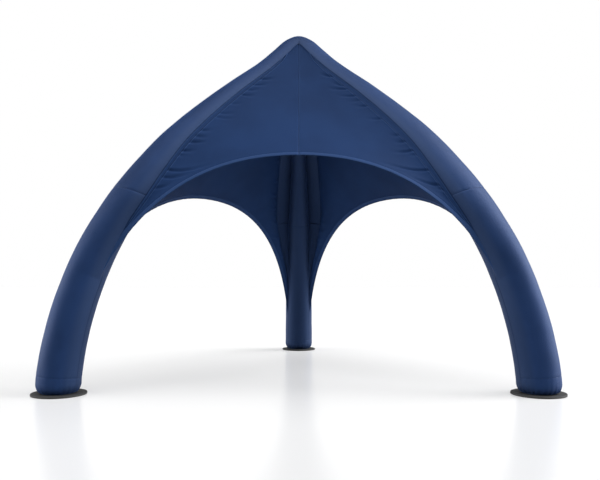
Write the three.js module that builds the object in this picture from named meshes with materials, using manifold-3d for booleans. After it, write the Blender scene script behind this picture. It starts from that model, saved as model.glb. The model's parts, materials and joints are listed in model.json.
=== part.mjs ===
// Inflatable tripod tent: three tapered air legs on base plates carry three taut roof panels.
// Millimetres, +Z up, front towards -Y. The origin is on the ground, at the middle of the plan.
import * as THREE from 'three';
import Module from 'manifold-3d';

const wasm = await Module();
wasm.setup();

// Base plates and the clearance between neighbouring pieces
const FOOT_REACH = 2430;
const PLATE_RADIUS = 236;
const PLATE_HEIGHT = 16;
const PLATE_EDGE = 5;
const PLATE_SIDES = 30;
const GAP = 0.3;

// One leg from the ground to the apex: distance from the tent's axis, height and tube radius
const LEG_SECTIONS = [
  { reach: 2435, height: 0, radius: 190 },
  { reach: 2432, height: 158, radius: 191 },
  { reach: 2380, height: 510, radius: 188 },
  { reach: 2292, height: 850, radius: 184 },
  { reach: 2155, height: 1220, radius: 179 },
  { reach: 1998, height: 1530, radius: 172 },
  { reach: 1835, height: 1795, radius: 167 },
  { reach: 1650, height: 2065, radius: 149 },
  { reach: 1430, height: 2350, radius: 128 },
  { reach: 1190, height: 2600, radius: 112 },
  { reach: 840, height: 2920, radius: 95 },
  { reach: 420, height: 3270, radius: 80 },
  { reach: 250, height: 3435, radius: 76 },
  { reach: 110, height: 3570, radius: 73 },
  { reach: 0, height: 3620, radius: 71 },
];
const BOOT_SEAM = 1;
const CROSS_SEAM = 6;
const APEX = LEG_SECTIONS.length - 1;
const RINGS_PER_SECTION = 2;
const TUBE_SIDES = 24;
const BOOT_ROUNDING = 48;
const BOOT_ROUND_STEPS = 3;
// The cross seam slopes: it runs this much lower on the outer ridge of the leg than at its axis
const CROSS_SEAM_DROP = 30;

// Roof panels are sewn into the legs at this angle round from the outer ridge of the tube.
// From FLARE_START up the taut panels pull the leg's cover out into a broad ridge. From FLARE_END up, each
// panel seam lies this many radii further to the side and further out. The tube's inner side stays round,
// and the crease where it meets the flank of the ridge moves by its own numbers of radii, sideways only where
// the flare is half done.
const PANEL_ANGLE = THREE.MathUtils.degToRad(120);
const CREASE_ANGLE = THREE.MathUtils.degToRad(135);
const FLARE_SIDEWAYS = 1.3;
const FLARE_OUTWARDS = 0.13;
const CREASE_OUTWARDS = 0.95;
const CREASE_SIDEWAYS = 0.6;
const FLARE_START = 3.5;
const FLARE_END = 10;
const FLARE_EASE = 2.5;
const PANEL_CLEARANCE = 1.85;
const CENTRE_SEAM_GAP = 0.45;
const PANEL_TOP_SECTION = 13;
const PANEL_COLUMNS = 10;
const CLOTH_THICKNESS = 2;
const HEM_THICKNESS = 4;
const HEM_DEPTH = 48;
const HEM_ROWS = 2;
const HEM_STEP = 0.1;
// Each arched hem hangs in an upright plane at this distance from the tent's axis
const HEM_REACH = 1200;
const HEM_FADE = 3;
// The middle of a panel sags below a straight line, and its rows lie closer together near the hem
const PANEL_SAG = 90;
const ROW_BIAS = 1.2;

// Legs by the compass angle of their feet, and the panels between them in the same sense of turn
const LEGS = [
  { name: 'left', angle: 210 },
  { name: 'right', angle: 330 },
  { name: 'rear', angle: 90 },
];
const PANELS = [
  { name: 'front', angle: 270, crown: 2127, shoulder: 1230, tipSection: 3.5, seams: true },
  { name: 'rear_right', angle: 30, crown: 1950, shoulder: 1495, tipSection: 2, seams: false },
  { name: 'rear_left', angle: 150, crown: 1950, shoulder: 1495, tipSection: 2, seams: false },
];

const LEG_CLOTH = { color: 0x3a5083, roughness: 0.6, metalness: 0 };
const ROOF_CLOTH = { color: 0x2c4070, roughness: 0.65, metalness: 0 };
const PLATE_RUBBER = { color: 0x363635, roughness: 0.7, metalness: 0 };

function finish(name, geometry, look) {
  const mesh = new THREE.Mesh(geometry, new THREE.MeshStandardMaterial(look));
  mesh.name = name;
  return mesh;
}

function indexedGeometry(points, triangles) {
  const geometry = new THREE.BufferGeometry();
  geometry.setAttribute('position', new THREE.Float32BufferAttribute(points.flatMap((p) => p.toArray()), 3));
  geometry.setIndex(triangles.flat());
  geometry.computeVertexNormals();
  return geometry;
}

// The leg's centre line in its own upright plane: x is the reach, y the height, z the tube radius.
// A mirrored section beyond each end makes the leg stand upright at the foot and run level at the apex.
function legCurve() {
  const rows = LEG_SECTIONS.map((row) => new THREE.Vector3(row.reach, row.height, row.radius));
  const below = rows[1].clone().setY(-rows[1].y);
  const beyond = rows[APEX - 1].clone().setX(-rows[APEX - 1].x);
  return new THREE.CatmullRomCurve3([below, ...rows, beyond], false, 'centripetal');
}

const curve = legCurve();

function legFrame(section) {
  const along = (section + 1) / (curve.points.length - 1);
  const centre = curve.getPoint(along);
  const tangent = curve.getTangent(along).setZ(0).normalize();
  return { centre, tangent, radius: centre.z };
}

// How much of the flare a section has: none up to FLARE_START, all of it from FLARE_END up
function flareShare(section) {
  const left = THREE.MathUtils.clamp((FLARE_END - section) / (FLARE_END - FLARE_START), 0, 1);
  return 1 - left ** FLARE_EASE;
}

// Where the panel seams lie on a leg's cross-section: out from its centre and to either side
function seamPlace(section) {
  const { radius } = legFrame(section);
  const share = flareShare(section);
  return {
    out: radius * (Math.cos(PANEL_ANGLE) + FLARE_OUTWARDS * share),
    side: radius * (Math.sin(PANEL_ANGLE) + FLARE_SIDEWAYS * share),
  };
}

function creasePlace(section) {
  const { radius } = legFrame(section);
  const share = flareShare(section);
  return {
    out: radius * (Math.cos(CREASE_ANGLE) + CREASE_OUTWARDS * share),
    side: radius * (Math.sin(CREASE_ANGLE) + CREASE_SIDEWAYS * share * (1 - share)),
  };
}

// A point on the arc that crosses the leg's mid-plane at the tip and ends at the corner, where the share is 1
function arcPoint(tip, corner, share) {
  const sense = Math.sign(tip);
  const rise = sense * (tip - corner.out);
  const arc = (rise ** 2 + corner.side ** 2) / (2 * rise);
  const turn = share * Math.atan2(corner.side, arc - rise);
  return { out: tip - sense * arc * (1 - Math.cos(turn)), side: arc * Math.sin(turn) };
}

// A leg's cross-section, by the angle round from the outer ridge: an outer arc between the panel seams and an
// inner one between the creases. Up to FLARE_START both lie on one circle.
function crossSection(section, angle) {
  const { radius } = legFrame(section);
  if (Math.abs(angle) < (PANEL_ANGLE + CREASE_ANGLE) / 2) {
    return arcPoint(radius, seamPlace(section), angle / PANEL_ANGLE);
  }
  const fromInside = Math.sign(angle) * Math.PI - angle;
  return arcPoint(-radius, creasePlace(section), fromInside / (Math.PI - CREASE_ANGLE));
}

// A point of a cross-section in the leg's frame: x outwards, y sideways, z up
function legPoint(section, { out, side }) {
  const { centre, tangent, radius } = legFrame(section);
  const slide = section === CROSS_SEAM ? (-CROSS_SEAM_DROP * out) / radius : 0;
  const reach = centre.x + tangent.y * out + tangent.x * slide;
  const height = centre.y - tangent.x * out + tangent.y * slide;
  return new THREE.Vector3(reach, side, height);
}

function tubeRing(section, scale = 1) {
  const turns = Array.from({ length: TUBE_SIDES }, (_, i) => (2 * Math.PI * i) / TUBE_SIDES - Math.PI);
  return turns.map((angle) => {
    const { out, side } = crossSection(section, angle);
    return legPoint(section, { out: out * scale, side: side * scale });
  });
}

function moveAlong(ring, section, distance) {
  const { tangent } = legFrame(section);
  return ring.map((p) => new THREE.Vector3(p.x + tangent.x * distance, p.y, p.z + tangent.y * distance));
}

function middleOf(ring) {
  return ring.reduce((sum, p) => sum.add(p), new THREE.Vector3()).divideScalar(ring.length);
}

// A closed tube through rings that run from the lower end to the upper one
function loft(rings) {
  const points = [...rings.flat(), middleOf(rings[0]), middleOf(rings[rings.length - 1])];
  const bottom = rings.length * TUBE_SIDES;
  const top = bottom + 1;
  const last = (rings.length - 1) * TUBE_SIDES;
  const triangles = [];
  for (let i = 0; i < TUBE_SIDES; i += 1) {
    const next = (i + 1) % TUBE_SIDES;
    triangles.push([bottom, next, i], [top, last + i, last + next]);
    for (let ring = 0; ring < rings.length - 1; ring += 1) {
      const low = ring * TUBE_SIDES;
      const high = low + TUBE_SIDES;
      triangles.push([low + i, low + next, high + next], [low + i, high + next, high + i]);
    }
  }
  return indexedGeometry(points, triangles);
}

function sectionsBetween(first, last) {
  const count = Math.round((last - first) * RINGS_PER_SECTION);
  return Array.from({ length: count + 1 }, (_, i) => first + i / RINGS_PER_SECTION);
}

function plateGeometry() {
  const profile = [
    new THREE.Vector2(0, 0),
    new THREE.Vector2(PLATE_RADIUS, 0),
    new THREE.Vector2(PLATE_RADIUS, PLATE_HEIGHT - PLATE_EDGE),
    new THREE.Vector2(PLATE_RADIUS - PLATE_EDGE, PLATE_HEIGHT),
    new THREE.Vector2(0, PLATE_HEIGHT),
  ];
  return new THREE.LatheGeometry(profile, PLATE_SIDES).rotateX(Math.PI / 2);
}

// The boot has a flat sole, a rounded lower edge and an upper ring that meets the lower leg
function bootGeometry() {
  const sole = PLATE_HEIGHT + GAP;
  const rounded = Array.from({ length: BOOT_ROUND_STEPS + 1 }, (_, step) => {
    const turn = (Math.PI / 2) * (step / BOOT_ROUND_STEPS);
    const inset = BOOT_ROUNDING * (1 - Math.sin(turn));
    const height = sole + BOOT_ROUNDING * (1 - Math.cos(turn));
    return tubeRing(0, 1 - inset / LEG_SECTIONS[0].radius).map((p) => p.setZ(height));
  });
  const seam = moveAlong(tubeRing(BOOT_SEAM), BOOT_SEAM, -GAP);
  return loft([...rounded, seam]);
}

function lowerLegGeometry() {
  const rings = sectionsBetween(BOOT_SEAM, CROSS_SEAM).map((section) => tubeRing(section));
  rings[rings.length - 1] = moveAlong(rings[rings.length - 1], CROSS_SEAM, -GAP);
  return loft(rings);
}

function toManifold(geometry) {
  return new wasm.Manifold(new wasm.Mesh({
    numProp: 3,
    vertProperties: new Float32Array(geometry.getAttribute('position').array),
    triVerts: new Uint32Array(geometry.index.array),
  }));
}

function fromManifold(solid) {
  const { vertProperties, triVerts } = solid.getMesh();
  const geometry = new THREE.BufferGeometry();
  geometry.setAttribute('position', new THREE.Float32BufferAttribute(vertProperties, 3));
  geometry.setIndex([...triVerts]);
  geometry.computeVertexNormals();
  return geometry;
}

// A third of the plan: the upright wedge in which one leg ends, just clear of its neighbours' wedges
function mitreWedge() {
  const tip = GAP / 2 / Math.sin(Math.PI / 3);
  const depth = 2 * FOOT_REACH;
  const half = depth * Math.tan(Math.PI / 3);
  const floor = 0;
  const ceiling = 2 * FOOT_REACH;
  const corners = [[tip, 0], [tip + depth, -half], [tip + depth, half]];
  const points = [floor, ceiling].flatMap((z) => corners.map(([x, y]) => new THREE.Vector3(x, y, z)));
  const sides = [0, 1, 2].flatMap((i) => {
    const next = (i + 1) % 3;
    return [[i, next, next + 3], [i, next + 3, i + 3]];
  });
  return indexedGeometry(points, [[0, 2, 1], [3, 4, 5], ...sides]);
}

// The tube runs one ring past the apex, so that the wedge cuts it there
function upperLegGeometry() {
  const end = APEX + 1 / RINGS_PER_SECTION;
  const rings = sectionsBetween(CROSS_SEAM, end).map((section) => tubeRing(section));
  return fromManifold(toManifold(loft(rings)).intersect(toManifold(mitreWedge())));
}

// Panels are worked out in their own frame: x outwards, y along the panel, z up.
// The seam line is on the leg at the panel's positive end, a sixth of a turn round.
function seamPoint(section) {
  const { out, side } = seamPlace(section);
  const besideLeg = legPoint(section, { out, side: -side - PANEL_CLEARANCE });
  return besideLeg.applyAxisAngle(new THREE.Vector3(0, 0, 1), Math.PI / 3);
}

// Side points of the rows, from the tip of the hem to the apex. The row that is added just above the hem's
// own rows ends its double cloth.
function sidePoints(panel) {
  const points = sectionsBetween(panel.tipSection, PANEL_TOP_SECTION).map(seamPoint);
  const hemEnd = points[HEM_ROWS - 1].clone().lerp(points[HEM_ROWS], HEM_STEP);
  points.splice(HEM_ROWS, 0, hemEnd);
  return points;
}

function runningLengths(points) {
  const lengths = [0];
  for (let i = 1; i < points.length; i += 1) {
    lengths.push(lengths[i - 1] + points[i].distanceTo(points[i - 1]));
  }
  return lengths;
}

// Middle points of the rows: up a gently sagging line from the crown of the hem to the apex
function middlePoints(panel, sides) {
  const crown = new THREE.Vector3(HEM_REACH, 0, panel.crown);
  const top = sides[sides.length - 1].clone().setY(0);
  const rise = top.clone().sub(crown);
  const inwards = new THREE.Vector3(-rise.z, 0, rise.x).normalize();
  const hemShare = HEM_DEPTH / rise.length();
  const lengths = runningLengths(sides);
  const total = lengths[lengths.length - 1];
  return lengths.map((length) => {
    const above = Math.max(0, (length - lengths[1]) / (total - lengths[1]));
    const share = length === 0 ? 0 : hemShare + (1 - hemShare) * above ** ROW_BIAS;
    const sag = 4 * PANEL_SAG * share * (1 - share);
    return crown.clone().addScaledVector(rise, share).addScaledVector(inwards, sag);
  });
}

function archedRow(side, middle, across) {
  const lift = 1 - across * across;
  return new THREE.Vector3(
    side.x + (middle.x - side.x) * lift,
    side.y * across,
    side.z + (middle.z - side.z) * lift,
  );
}

// Rows of points over the whole panel. Each row arches from leg to leg over the middle line,
// and the lowest follows the hem's own curve, which fades out upwards.
function panelGrid(panel) {
  const sides = sidePoints(panel);
  const middles = middlePoints(panel, sides);
  const shoulder = new THREE.Vector3(HEM_REACH, panel.shoulder, panel.crown);
  const hem = new THREE.QuadraticBezierCurve3(middles[0], shoulder, sides[0]);
  const lengths = runningLengths(sides);
  const columns = Array.from({ length: 2 * PANEL_COLUMNS + 1 }, (_, i) => i / PANEL_COLUMNS - 1);
  return sides.map((side, row) => columns.map((across) => {
    const onHem = hem.getPointAt(Math.abs(across));
    onHem.y *= Math.sign(across);
    const shift = onHem.sub(archedRow(sides[0], middles[0], across));
    const fade = (1 - lengths[row] / lengths[lengths.length - 1]) ** HEM_FADE;
    return archedRow(side, middles[row], across).addScaledVector(shift, fade);
  }));
}

// A closed sheet around a grid of middle points, with its hem rows at the hem's thickness
function sheetGeometry(grid) {
  const width = grid[0].length;
  const middle = grid.flat();
  const faces = [];
  for (let row = 0; row < grid.length - 1; row += 1) {
    for (let col = 0; col < width - 1; col += 1) {
      const low = row * width + col;
      const high = low + width;
      faces.push([low, low + 1, high + 1], [low, high + 1, high]);
    }
  }
  const normals = indexedGeometry(middle, faces).getAttribute('normal');
  const shifted = (sense) => middle.map((point, i) => {
    const thickness = i < HEM_ROWS * width ? HEM_THICKNESS : CLOTH_THICKNESS;
    const normal = new THREE.Vector3().fromBufferAttribute(normals, i);
    return point.clone().addScaledVector(normal, (sense * thickness) / 2);
  });
  const count = middle.length;
  const inner = faces.map(([a, b, c]) => [a + count, c + count, b + count]);
  const rim = sheetRim(grid.length, width).flatMap(([a, b]) => [
    [a, a + count, b + count],
    [a, b + count, b],
  ]);
  return indexedGeometry([...shifted(1), ...shifted(-1)], [...faces, ...inner, ...rim]);
}

// The grid's border as pairs of neighbouring points, counter-clockwise seen from outside
function sheetRim(rows, width) {
  const bottom = Array.from({ length: width }, (_, col) => col);
  const right = Array.from({ length: rows }, (_, row) => row * width + width - 1);
  const top = bottom.map((col) => (rows - 1) * width + col).reverse();
  const left = right.map((index) => index - width + 1).reverse();
  const loop = [...bottom, ...right.slice(1), ...top.slice(1), ...left.slice(1, -1)];
  return loop.map((index, i) => [index, loop[(i + 1) % loop.length]]);
}

// The front panel is cut in two at its centre seam; each half keeps half of the gap there
function panelMeshes(panel) {
  const grid = panelGrid(panel);
  if (!panel.seams) {
    return [finish(`panel_${panel.name}`, sheetGeometry(grid), ROOF_CLOTH)];
  }
  const halves = [
    { side: 'left', first: 0, sense: -1 },
    { side: 'right', first: PANEL_COLUMNS, sense: 1 },
  ];
  return halves.map(({ side, first, sense }) => {
    const half = grid.map((row) => row.slice(first, first + PANEL_COLUMNS + 1).map((p) => p.clone()));
    half.forEach((row) => {
      row[sense < 0 ? PANEL_COLUMNS : 0].y += (sense * CENTRE_SEAM_GAP) / 2;
    });
    return finish(`panel_${panel.name}_${side}`, sheetGeometry(half), ROOF_CLOTH);
  });
}

function legGroup(leg) {
  const plate = finish(`base_plate_${leg.name}`, plateGeometry(), PLATE_RUBBER);
  plate.position.x = FOOT_REACH;
  const group = new THREE.Group();
  group.add(
    plate,
    finish(`boot_${leg.name}`, bootGeometry(), LEG_CLOTH),
    finish(`leg_lower_${leg.name}`, lowerLegGeometry(), LEG_CLOTH),
    finish(`leg_upper_${leg.name}`, upperLegGeometry(), LEG_CLOTH),
  );
  group.rotation.z = THREE.MathUtils.degToRad(leg.angle);
  return group;
}

function panelGroup(panel) {
  const group = new THREE.Group();
  group.add(...panelMeshes(panel));
  group.rotation.z = THREE.MathUtils.degToRad(panel.angle);
  return group;
}

// The tent's axis stands in front of the plan's middle, because the rear foot reaches further back
const tent = new THREE.Group();
tent.position.y = -FOOT_REACH / 4;
tent.add(...LEGS.map(legGroup), ...PANELS.map(panelGroup));

export default tent;
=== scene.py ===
import json
import math

import bpy
import numpy as np
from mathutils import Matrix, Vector


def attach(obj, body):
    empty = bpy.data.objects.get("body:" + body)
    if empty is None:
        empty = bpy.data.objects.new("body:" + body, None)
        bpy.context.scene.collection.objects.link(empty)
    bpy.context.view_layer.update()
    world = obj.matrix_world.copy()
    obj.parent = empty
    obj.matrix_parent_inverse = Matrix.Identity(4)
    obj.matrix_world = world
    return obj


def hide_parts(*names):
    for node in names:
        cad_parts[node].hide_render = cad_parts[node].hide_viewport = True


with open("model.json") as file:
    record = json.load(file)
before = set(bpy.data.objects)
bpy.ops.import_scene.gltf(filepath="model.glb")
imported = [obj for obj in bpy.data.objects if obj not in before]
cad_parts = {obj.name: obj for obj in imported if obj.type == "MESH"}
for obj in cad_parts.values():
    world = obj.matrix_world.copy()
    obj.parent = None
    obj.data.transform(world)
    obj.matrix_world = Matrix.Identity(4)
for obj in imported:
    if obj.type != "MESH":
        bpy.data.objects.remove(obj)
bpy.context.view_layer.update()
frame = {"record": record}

# The tent's upright axis and its feet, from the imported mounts. The feet are the corners of an equal-sided
# triangle.
FEET = {mount["name"]: mount["pos_m"] for mount in frame["record"]["mounts"]}
FOOT_REACH = (FEET["foot_rear"][1] - FEET["foot_left"][1]) / 1.5
TENT_AXIS_Y = FEET["foot_rear"][1] - FOOT_REACH
LEG_ANGLES = {"left": 210, "right": 330, "rear": 90}
# Half the angle between two legs
HALF_BAY = 60
# Side of each leg that the front panel is on, as the sign of the angle round its tube
FRONT_SIDE = {"left": 1, "right": -1, "rear": 0}
FLOOR_LEVEL = -0.0004

# The camera stands in front of the tent's axis and looks up a little
PHOTO_WIDTH = 600
FOCAL_PIXELS = 627.7
PHOTO_AXIS_PIXEL = 298.75
SENSOR_WIDTH = 36
VIEW_DEPTH = 300
CAMERA_DISTANCE = 6.801
CAMERA_HEIGHT = 0.991
CAMERA_PITCH = math.radians(3.747)

# One leg from the ground to the apex: distance from the tent's axis, height and tube radius
LEG_SECTIONS = np.array([
    (2.435, 0.000, 0.190),
    (2.432, 0.158, 0.191),
    (2.380, 0.510, 0.188),
    (2.292, 0.850, 0.184),
    (2.155, 1.220, 0.179),
    (1.998, 1.530, 0.172),
    (1.835, 1.795, 0.167),
    (1.650, 2.065, 0.149),
    (1.430, 2.350, 0.128),
    (1.190, 2.600, 0.112),
    (0.840, 2.920, 0.095),
    (0.420, 3.270, 0.080),
    (0.250, 3.435, 0.076),
    (0.110, 3.570, 0.073),
    (0.000, 3.620, 0.071),
])
BOOT_SEAM = 1
CROSS_SEAM = 6
APEX = len(LEG_SECTIONS) - 1
CROSS_SEAM_DROP = 0.030
CROSS_SEAM_FADE = 0.16
PIECE_GAP = 0.0003
RING_SPACING = 0.010
TUBE_SIDES = 96
SAMPLES_PER_SECTION = 200

# Seams of the leg covers: angles round from the outer ridge. From FLARE_START up the taut panels pull the
# cover out into a broad ridge, by this many radii, and the tube's inner side stays round.
LONG_SEAM_ANGLE = math.radians(120)
CREASE_ANGLE = math.radians(135)
FLARE_SIDEWAYS = 1.3
FLARE_OUTWARDS = 0.13
CREASE_OUTWARDS = 0.95
CREASE_SIDEWAYS = 0.6
FLARE_START = 3.5
FLARE_END = 10
FLARE_EASE = 2.5
ANGLE_SLACK = 1e-6
SHARP_ANGLE = math.radians(50)
MITRE_REACH = (-0.35, 0.02)
MITRE_SAMPLES = 400

# The sewn grooves, felled edges and puckers of the leg covers
LONG_SEAM_DEPTH = 0.0045
LONG_SEAM_WIDTH = 0.008
SEAM_PULL = 0.35
SEAM_PULL_PERIOD = 0.11
FLARED_SEAM_EASE = 0.85
FLARED_SEAM_GAP = 0.0022
FELL_START = 0.004
FELL_WIDTH = 0.016
FELL_HEIGHT = 0.0016
ROUND_SEAM_DEPTH = 0.0026
ROUND_SEAM_WIDTH = 0.008
BOOT_SEAM_WEIGHT = 0.60
SEAM_FADE = (0.7, 1.6)
TOP_FADE = (11.4, 12.7)
HIDDEN_SEAM = 0.050
FAINT_SEAM = 0.004
LOWER_SEAM_SHIFT = 0.034
# Where painted shade darkens the front of the apex: angles round from the ridge, and sections
APEX_FRONT_ANGLES = (math.radians(15), math.radians(60))
APEX_FRONT_SECTIONS = (12.2, 13.3)
# Where a painted reflection, greyer and darker, tints the legs' inner sides, and the sections over which
# painted light lightens it higher up on the front legs
FRONT_LEG_INSIDE = (math.radians(78), math.radians(108))
REAR_LEG_INSIDE = (math.radians(85), math.radians(125))
INSIDE_ANGLES = {"left": FRONT_LEG_INSIDE, "right": FRONT_LEG_INSIDE, "rear": REAR_LEG_INSIDE}
UPPER_INSIDE_SECTIONS = (1.5, 4.5)
PUCKER_REACH = 0.055
PUCKER_HEIGHT = 0.0016
PUCKER_COUNT = 9
SIDE_PUCKER_REACH = 0.030
SIDE_PUCKER_HEIGHT = 0.0010
SIDE_PUCKER_PERIOD = 0.052
LEG_UNEVENNESS = 0.0012
# Broad waves along a leg: period, and how far they sway round the tube
LEG_WAVES = ((0.61, 2.0), (0.37, 1.4))
BOOT_ROUNDING = 0.062
BOOT_ROUND_HEIGHT = 0.086
BOOT_ROUND_STEPS = 12
GATHER_HEIGHT = 0.0080
GATHER_REACH = 0.035
GATHER_PLACE = 0.02
GATHER_START = 0.012
GATHER_COUNT = 26

# Uneven waves: rate, start and size of each sine, along a piece and round a tube
WAVES = ((1.0, 0.0, 1.0), (1.618, 1.3, 0.7), (2.71, 4.1, 0.45))
ROUND_WAVES = ((1.0, 0.0, 1.0), (1.6, 1.3, 0.7), (2.7, 4.1, 0.45))
# Their start on boots, lower and upper legs: on the first leg, and the step to the next
LEG_PHASES = ((0.9, 2.1), (0.4, 1.9), (1.3, 2.3))

# Roof panels: compass angle, height of the hem's crown, half width of its shoulder, lowest leg section
PANELS = {
    "front": {"angle": 270, "crown": 2.127, "shoulder": 1.230, "tip": 3.5},
    "rear_right": {"angle": 30, "crown": 1.950, "shoulder": 1.495, "tip": 2.0},
    "rear_left": {"angle": 150, "crown": 1.950, "shoulder": 1.495, "tip": 2.0},
}
PANEL_TUCK = 0.006
PANEL_TOP_SECTION = 13
HEM_REACH = 1.200
HEM_DEPTH = 0.048
HEM_FADE = 3
PANEL_SAG = 0.090
ROW_BIAS = 1.2
SIDE_ROW_STEP = 0.5
COLUMN_EASE = 0.4
COLUMN_POWER = 1.3
SEAM_SAMPLES = 2000
HEM_SAMPLES = 1500
SEAM_STRIDE = 5
HEM_STRIDE = 6
HEM_SEARCH_TOP = 0.6
HEM_SEARCH_SAMPLES = 240
LEAST_LENGTH = 1e-12
CLOTH_THICKNESS = 0.002
HEM_THICKNESS = 0.004
HEM_ROWS = (0.0, 0.004, 0.012, 0.022, 0.032, 0.040, 0.045, 0.048, 0.051, 0.056, 0.066)
HEM_ROLL = 0.0035
HEM_GROOVE = 0.0020
HEM_CALM = (0.8 * HEM_DEPTH, 1.6 * HEM_DEPTH)
FRONT_GRID = (290, 118)
REAR_GRID = (165, 105)
STRIP_WIDTHS = {"left": 0.042, "right": 0.060, "rear": 0.040}
STRIP_LEAST_WIDTH = 0.010
STRIP_DEPTH = 0.0012
STRIP_SLOPE = 0.012
STRIP_START = 0.16
STRIP_SPAN = 0.80
STRIP_TAPER = 0.7
STRIP_PULL = 0.4
STRIP_PULL_PERIOD = 0.13
LIP_HEIGHT = 0.0030
LIP_PLACE = 0.006
LIP_WIDTH = 0.009
SEAM_GROOVE = 0.0030
CENTRE_SEAM_GAP = 0.0015
GROOVE_WIDTH = 0.006
PANEL_UNEVENNESS = 0.0030
FREE_CLOTH = 0.25
WAVE_SLANT = 0.4
WAVE_PERIOD = 0.83
FRONT_WAVE_PHASE = 1.7

# Creases of the front panel, from its side seam inwards. Each row has the sideways place and the height
# up the panel of both ends, then the depth. Heights count from the crown of the hem, up the slope.
FRONT_CREASES = (
    (-0.43, 1.19, -0.22, 1.24, 0.0036),
    (-0.48, 1.10, -0.28, 1.15, 0.0030),
    (-0.54, 1.02, -0.37, 1.07, 0.0030),
    (-0.58, 0.95, -0.41, 0.97, 0.0032),
    (-0.68, 0.82, -0.54, 0.85, 0.0018),
    (-0.78, 0.68, -0.61, 0.71, 0.0022),
    (-0.82, 0.63, -0.59, 0.63, 0.0018),
    (-0.99, 0.45, -0.81, 0.47, 0.0034),
    (-1.03, 0.39, -0.83, 0.37, 0.0030),
    (-1.09, 0.31, -0.84, 0.32, 0.0042),
    (-1.16, 0.21, -0.95, 0.21, 0.0046),
    (-1.18, 0.17, -1.03, 0.15, 0.0024),
    (-1.29, 0.01, -0.76, -0.02, 0.0050),
    (-1.26, -0.08, -0.97, -0.08, 0.0040),
    (-1.32, -0.19, -1.15, -0.15, 0.0036),
    (0.38, 1.23, 0.20, 1.31, 0.0044),
    (0.48, 1.08, 0.32, 1.18, 0.0030),
    (0.52, 1.04, 0.27, 1.09, 0.0032),
    (0.62, 0.94, 0.36, 0.97, 0.0032),
    (0.65, 0.88, 0.46, 0.87, 0.0018),
    (0.71, 0.79, 0.53, 0.80, 0.0030),
    (0.85, 0.61, 0.64, 0.62, 0.0030),
    (1.01, 0.40, 0.85, 0.39, 0.0030),
    (1.07, 0.33, 0.89, 0.30, 0.0042),
    (1.14, 0.23, 0.83, 0.17, 0.0044),
    (1.17, 0.17, 1.00, 0.16, 0.0026),
    (1.25, 0.00, 0.70, 0.00, 0.0048),
    (1.34, -0.16, 0.95, -0.10, 0.0040),
    (1.39, -0.21, 1.20, -0.16, 0.0034),
)
CREASE_WIDTH = 0.025
CREASE_GAIN = 2.1
CREASE_BOW = 0.05
CREASE_NARROW = 0.7
CREASE_SPREAD = 0.6
CREASE_RIDGE = 1.1
CREASE_START = (-0.06, 0.10)
CREASE_END = (0.35, 1.05)

# Creases of the rear panels: how far up the seam they start, the ranges that they are drawn from, and the
# longer ones near the tips
REAR_CREASE_COUNT = 17
REAR_CREASE_DEPTH = 0.0026
REAR_CREASE_DEPTHS = (0.4, 1.4)
REAR_CREASE_SPAN = (0.16, 0.86)
REAR_CREASE_INSET = 0.02
REAR_CREASE_LENGTHS = (0.12, 0.30)
REAR_CREASE_DROPS = (-0.06, 0.03)
REAR_TIP_END = 0.35
REAR_TIP_LENGTHENING = 1.5
REAR_CREASE_SEEDS = {"rear_right": 11, "rear_left": 23}

# Base plates
PLATE_RADIUS = 0.236
PLATE_HEIGHT = 0.016
PLATE_BEVEL = 0.003
PLATE_BEVEL_STEPS = 3
PLATE_SMOOTH_ANGLE = math.radians(35)
PLATE_SIDES = 96
TOP_FACE = 0.9
# Rim, both sides of the groove and the edge of the middle: width and change of height
PLATE_INSETS = ((0.013, 0.0), (0.004, -0.0012), (0.004, 0.0012), (0.013, 0.0))

# Colours, linear
LEG_NAVY = (0.0182, 0.0430, 0.1290)
# Painted reflection on the legs' inner sides, greyer and darker than the plain cloth, and painted light
# higher up on the front legs' inner sides
PAINTED_INSIDE_REFLECTION_NAVY = (0.0190, 0.0355, 0.0870)
PAINTED_UPPER_INSIDE_LIGHT_NAVY = (0.0370, 0.0640, 0.1480)
ROOF_NAVY = (0.0200, 0.0510, 0.1530)
# Lighter navy of the hem, which is also the colour of the painted highlights along the felled lips and
# seams
HEM_AND_HIGHLIGHT_NAVY = (0.0420, 0.0900, 0.2350)
# Dark thread of the stitches, which is also the colour of the painted shade at the apex
THREAD_AND_SHADE_NAVY = (0.0060, 0.0160, 0.0500)
PLATE_CHARCOAL = (0.0600, 0.0600, 0.0590)
# Paler grey of the painted highlight on the plates' upper rim and top
PLATE_HIGHLIGHT_GREY = (0.1150, 0.1150, 0.1120)
WHITE = (1.0, 1.0, 1.0)
FLOOR_WHITE = (0.95, 0.95, 0.95)
FLOOR_FRONT = (0.36, 0.36, 0.36)
FLOOR_REAR = (0.66, 0.66, 0.66)

# The cloths: scale and tones of the uneven patches, roughness, scale of the grain, strength of the bumps
LEG_FINISH = {
    "navy": LEG_NAVY,
    "patches": 2.3,
    "tones": (0.86, 1.12),
    "roughness": 0.50,
    "grain": 38.0,
    "bump": 0.25,
}
ROOF_FINISH = {
    "navy": ROOF_NAVY,
    "patches": 1.7,
    "tones": (0.90, 1.10),
    "roughness": 0.56,
    "grain": 30.0,
    "bump": 0.22,
}
THREAD_PITCH = 0.0022
THREAD_ROUGHNESS = 0.02
THREAD_BUMP = 0.25
GRAIN_DETAIL = 4.0
GRAIN_BUMP = 0.6
NOISE_ROUGHNESS = 0.55
PATCH_DETAIL = 3.0
PATCH_EDGES = (0.3, 0.7)
PATCH_ROUGHNESS = 0.12
CLOTH_BUMP_DEPTH = 0.0015
SATIN_TINT = (0.20, 0.40, 1.0, 1.0)
LEG_SHINE = {
    "Specular IOR Level": 0.85,
    "Specular Tint": SATIN_TINT,
    "Sheen Weight": 0.30,
    "Sheen Roughness": 0.35,
    "Sheen Tint": (0.16, 0.36, 1.0, 1.0),
}
ROOF_SHINE = {"Specular IOR Level": 0.15, "Specular Tint": SATIN_TINT}
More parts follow.
